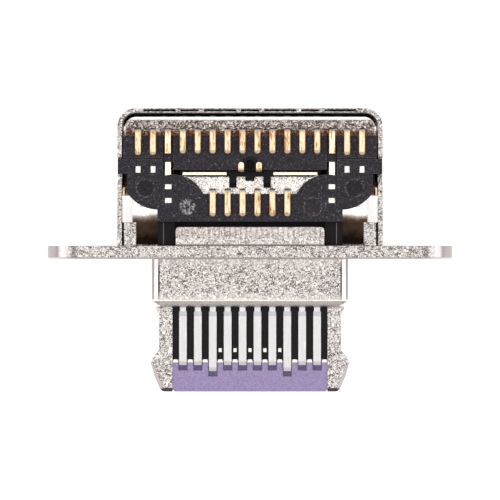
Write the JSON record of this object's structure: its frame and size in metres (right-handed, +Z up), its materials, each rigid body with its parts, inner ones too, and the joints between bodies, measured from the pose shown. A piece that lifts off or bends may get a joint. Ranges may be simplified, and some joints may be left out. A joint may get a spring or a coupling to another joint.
{
  "type": "charging port connector",
  "caption": "Reversible-plug receptacle with an exposed tongue, a two-screw flange with a collar, folded solder tails and a drawn steel cover can.",
  "frame": {"origin": "on the tongue's axis, in the front face of the screw flange, midway between the two screw holes", "axes": "+Z up, towards the solder tails; the tongue points to -Y; +X runs along the flange"},
  "size_m": [0.0136, 0.0094, 0.0025],
  "materials": {
    "blasted_steel": "bead blasted",
    "plate_steel": "bead blasted",
    "black_polymer": "matte",
    "violet_polymer": "matte",
    "gilt_spring": "gold plated",
    "plated_contact": "plated"
  },
  "bodies": {
    "root": {"cover_can": "blasted_steel", "front_frame": "blasted_steel", "mid_plate": "plate_steel", "pin_side_housing": "black_polymer", "cover_side_housing": "black_polymer", "nose_cap": "violet_polymer", "side_spring_left": "gilt_spring", "side_spring_right": "gilt_spring", "upper_contact_01": "plated_contact", "upper_contact_02": "plated_contact", "upper_contact_03": "plated_contact", "upper_contact_04": "plated_contact", "upper_contact_05": "plated_contact", "upper_contact_06": "plated_contact", "upper_contact_07": "plated_contact", "upper_contact_08": "plated_contact", "upper_contact_09": "plated_contact", "upper_contact_10": "plated_contact", "lower_contact_01": "plated_contact", "lower_contact_02": "plated_contact", "lower_contact_03": "plated_contact", "lower_contact_04": "plated_contact", "lower_contact_05": "plated_contact", "lower_contact_06": "plated_contact", "lower_contact_07": "plated_contact", "lower_contact_08": "plated_contact", "lower_contact_09": "plated_contact", "lower_contact_10": "plated_contact"}
  },
  "joints": []
}
